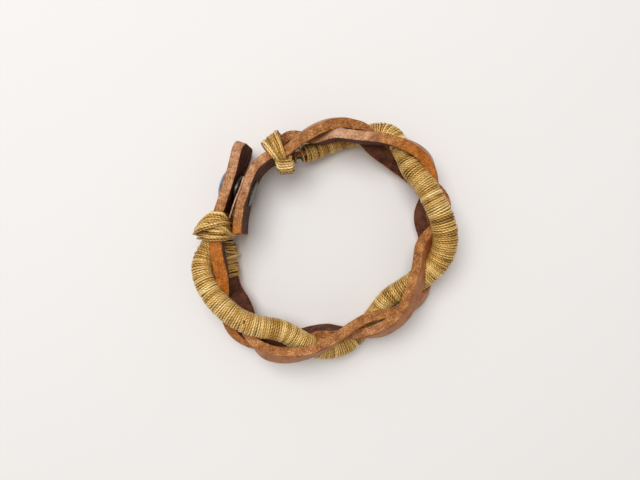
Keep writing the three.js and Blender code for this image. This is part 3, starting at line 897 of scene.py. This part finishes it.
def outer_tab():
    """Straight, from inside the first binding to a rounded end that leans a little. Its root stays in the
    binding, and the stretch where it leaves it is handed over as its bend. Distances are along it from
    the snap."""
    start = -MOUTH_DISTANCE - 1.6
    bend_from = -10.6
    bend_to = -6.2
    lean_from = 3
    lean = 5.0
    rounding = TAB_REACH - TAB_CORNER
    straight = np.linspace(start, rounding, 48, endpoint=False)
    corner = rounding + TAB_CORNER * np.sin(np.linspace(0, math.pi / 2, 26))
    u = np.concatenate([straight, corner])
    heights = np.full(len(u), STRAP_HEIGHT / 2)
    past = np.clip(u - rounding, 0, TAB_CORNER)
    heights = heights - TAB_CORNER + np.sqrt(TAB_CORNER ** 2 - past ** 2)
    bow = wander(len(u), 14, 0.05)[:, None]
    points = snap_middle + tab_along * u[:, None] + tab_inward * bow
    tilt = (lean * smooth((u - lean_from) / (TAB_REACH - lean_from)))[:, None]
    outward = -tab_inward * cosine(tilt) - UP * sine(tilt)
    places = (points, outward, UP * cosine(tilt) - tab_inward * sine(tilt))
    tones = np.interp(u, [start, -6, 0, 10, TAB_REACH], [0.3, -0.3, -0.45, -0.5, -0.6])
    piece = strip("outer_tab_leather", places, LEATHER / 2 + 0.15, STRAP_HEIGHT / 2, leather, heights, tones,
                  (False, True))
    hand_over(piece, ("band_end", "outer_tab_body"), ["outer_tab", "outer_tab_root"],
              (snap_middle + tab_along * bend_from, snap_middle + tab_along * bend_to))


def inner_tab_route():
    """Points from the inner tab's free end, past the snap, to its place in the plait's start."""
    into_plait = PLAIT_START + 2.5
    meeting_angle = PLAIT_START - INNER_MEETING
    meeting = at_angle(meeting_angle, ring_radius(meeting_angle), MIDDLE)

    def beside(distance, bend=0.0):
        return snap_middle + tab_along * distance + tab_inward * (inner_inset + bend)

    half_way = (beside(INNER_STRAIGHT) + meeting) / 2 - tab_inward * INNER_BULGE
    return [beside(-INNER_END[0], INNER_END[1]), beside(-INNER_BEND[0], INNER_BEND[1]),
            beside(-INNER_STRAIGHT), beside(0), beside(INNER_STRAIGHT), half_way, meeting,
            at_angle(PLAIT_START, ring_radius(PLAIT_START), MIDDLE),
            at_angle(into_plait, ring_radius(into_plait), MIDDLE)]


def inner_tab():
    """From its cut end into the plait. Returns its middle line, its outward directions and its lengths."""
    points, along = through(inner_tab_route(), 90)
    outward = np.stack([-along[:, 1], along[:, 0], np.zeros(len(along))], axis=1)
    distance = lengths_along(points)
    tones = np.interp(distance, [0, 3, 7, 16, 26, 34], [0.9, 0.5, -0.1, -0.5, -0.3, 0.1])
    piece = strip("inner_tab_leather", (points, outward, np.broadcast_to(UP, points.shape)), LEATHER / 2,
                  STRAP_HEIGHT / 2, leather, None, tones, (True, False))
    hand_over(piece, "band", ["inner_tab"])
    return points, outward, distance


def peeled_grain(points, outward, distance):
    """A sliver of grain that has peeled from the inner tab's outer top edge, and points to its free end."""
    steps = 30
    rooted = 19.0
    tip = 5.0
    half_thickness = 0.22
    reach = np.linspace(rooted, tip, steps)
    place = at_lengths(reach, distance, points)
    out = at_lengths(reach, distance, outward)
    share = np.linspace(0, 1, steps)
    lift = (LEATHER / 2 + 0.05 + 1.3 * share ** 2)[:, None]
    half_width = 0.6 * np.sqrt(1 - share ** 2) + 0.05
    middle = place + out * lift + UP * (STRAP_HEIGHT / 2 - 0.5 - 0.5 * share)[:, None]
    corners = ((1, -1), (1, 1), (-1, 1), (-1, -1))
    rows = [middle + out * a * half_thickness + UP * (b * half_width)[:, None] for a, b in corners]
    vertices = np.stack(rows, axis=1)
    faces = grid_faces(steps, 4)
    faces.append([0, 1, 2, 3])
    faces.append([(steps - 1) * 4 + i for i in (3, 2, 1, 0)])
    piece = new_mesh("peeled_grain", vertices.reshape(-1, 3), faces, leather)
    set_attribute(piece, "along", np.repeat(reach, 4))
    for name, value in (("from_edge", 0.0), ("from_grain", 1.5), ("tone", -1.0)):
        set_attribute(piece, name, np.full(steps * 4, value))
    hand_over(piece, "band", [])


outer_tab()
peeled_grain(*inner_tab())


# ---------------------------------------------------------------- snap

def lathe(name, profile, material, body, nodes):
    """profile is rows of (radius, distance inwards from the outer tab's middle), turned round the snap's
    axis. A flat disc closes each end."""
    sides = 72
    profile = np.array(profile, float)
    turn = np.linspace(0, 2 * math.pi, sides, endpoint=False)
    across = np.cos(turn)[:, None] * tab_along + np.sin(turn)[:, None] * UP
    vertices = snap_middle + profile[:, :1, None] * across[None] + profile[:, 1:, None] * tab_inward
    faces = grid_faces(len(profile), sides)
    faces.append(list(range(sides)))
    faces.append([(len(profile) - 1) * sides + i for i in reversed(range(sides))])
    piece = new_mesh(name, vertices.reshape(-1, 3), faces, material)
    hand_over(piece, body, nodes)


def rounded(points, radius):
    """The profile with each corner between its ends rounded off by up to radius."""
    steps = 5
    points = np.array(points, float)
    line = [points[0]]
    for before, corner, after in zip(points, points[1:], points[2:]):
        cut = min(radius, np.linalg.norm(corner - before) / 2.2, np.linalg.norm(after - corner) / 2.2)
        a = corner + (before - corner) / np.linalg.norm(before - corner) * cut
        b = corner + (after - corner) / np.linalg.norm(after - corner) * cut
        for t in np.linspace(0, 1, steps):
            line.append((1 - t) ** 2 * a + 2 * t * (1 - t) * corner + t * t * b)
    line.append(points[-1])
    return line


def snap():
    """The four turned parts. Each face is a leather face's distance inwards, touch is the gap left at it, and
    axis is the radius where a profile ends at the snap's axis."""
    outer_face = -LEATHER / 2
    inner_face = LEATHER / 2
    stud_face = inner_face + SNAP_GAP
    back_face = stud_face + LEATHER
    touch = 0.05
    axis = 0.05
    cap_radius = 5.2
    cap_height = 1.9
    post_radius = 1.6
    dome = [(cap_radius * math.sin(a), outer_face - 0.5 - cap_height * math.cos(a) ** 0.8)
            for a in np.linspace(0.02, 1.5, 14)]
    rim = rounded([(cap_radius, outer_face - 0.4), (cap_radius + 0.05, outer_face - 0.15),
                   (cap_radius - 0.2, outer_face - touch), (post_radius, outer_face - touch)], 0.12)
    post = [(post_radius, inner_face + 0.2), (axis, inner_face + 0.2)]
    lathe("snap_cap_dome", dome + rim + post, cap_metal, "outer_tab_body", ["snap_cap"])
    socket = rounded([(1.9, inner_face + touch), (4.2, inner_face + touch), (4.6, inner_face + 0.3),
                      (4.6, stud_face - 1.9), (4.3, stud_face - 1.5), (3.9, stud_face - 1.15),
                      (3.1, stud_face - 1.15), (2.75, stud_face - 1.35), (2.75, inner_face + 0.6),
                      (1.9, inner_face + 0.4)], 0.3)
    lathe("snap_socket_cup", socket, snap_metal, "outer_tab_body", ["snap_socket"])
    stud = rounded([(axis, stud_face - 2.25), (1.7, stud_face - 2.25), (2.1, stud_face - 1.9),
                    (1.75, stud_face - 0.85), (4.3, stud_face - 0.75), (4.4, stud_face - 0.4),
                    (4.4, stud_face - touch), (axis, stud_face - touch)], 0.25)
    lathe("snap_stud_head", stud, snap_metal, "band", ["snap_stud"])
    eyelet = rounded([(axis, back_face - 0.3), (post_radius, back_face - 0.3),
                      (post_radius, back_face + touch), (4.6, back_face + touch), (4.65, back_face + 0.3),
                      (4.2, back_face + 0.75), (2.6, back_face + 0.95), (1.2, back_face + 0.9),
                      (axis, back_face + 0.9)], 0.3)
    lathe("snap_eyelet_disc", eyelet, snap_metal, "band", ["snap_eyelet"])


def snap_spring():
    """The split ring in the socket's groove, with its two ends apart."""
    spring_radius = 2.98
    wire_radius = 0.22
    turn = np.radians(np.linspace(14, 346, 60))
    depth = LEATHER / 2 + SNAP_GAP - 1.75
    across = np.cos(turn)[:, None] * tab_along + np.sin(turn)[:, None] * UP
    ring = snap_middle + spring_radius * across + depth * tab_inward
    piece = tube("snap_spring_ring", [(ring, 0.5)], wire_radius, snap_metal, 10)
    hand_over(piece, "outer_tab_body", ["snap_spring"])


snap()
snap_spring()


# ---------------------------------------------------------------- floor, light and camera

def add_floor():
    half = 1.5
    mesh = bpy.data.meshes.new("floor")
    corners = [(-half, -half, 0), (half, -half, 0), (half, half, 0), (-half, half, 0)]
    mesh.from_pydata(corners, [], [(0, 1, 2, 3)])
    look = Look("floor_cloth")
    look.finish((0.83, 0.82, 0.81, 1.0), 0.9)
    mesh.materials.append(look.material)
    floor = bpy.data.objects.new("floor", mesh)
    bpy.context.scene.collection.objects.link(floor)


def add_light(name, place, size, power, colour):
    """A round soft light that faces the origin, with its power in watts."""
    data = bpy.data.lights.new(name, "AREA")
    data.shape = "DISK"
    data.size = size
    data.energy = power
    data.color = colour
    light = bpy.data.objects.new(name, data)
    light.location = place
    bpy.context.scene.collection.objects.link(light)
    direction = -light.location
    light.rotation_euler = direction.to_track_quat("-Z", "Y").to_euler()


def add_world():
    world = bpy.data.worlds.new("studio")
    world.use_nodes = True
    background = world.node_tree.nodes["Background"]
    background.inputs["Color"].default_value = (1.0, 0.945, 0.885, 1.0)
    background.inputs["Strength"].default_value = 0.43
    bpy.context.scene.world = world


def add_camera():
    """Straight above the ring, as in the photo, and looking down."""
    height = 207
    left_of_ring = 1.32
    data = bpy.data.cameras.new("camera")
    data.sensor_width = 36
    data.lens = 32.0
    data.clip_start = 0.01
    camera = bpy.data.objects.new("camera", data)
    camera.location = ((RING_CENTRE[0] - left_of_ring) * MM, RING_CENTRE[1] * MM, height * MM)
    camera.rotation_euler = (0, 0, 0)
    bpy.context.scene.collection.objects.link(camera)
    bpy.context.scene.camera = camera


add_camera()
add_floor()
add_world()
add_light("window", (-0.22, 0.3, 0.95), 0.75, 8.2, (0.98, 0.985, 1.0))
bpy.context.scene.view_settings.view_transform = "Standard"
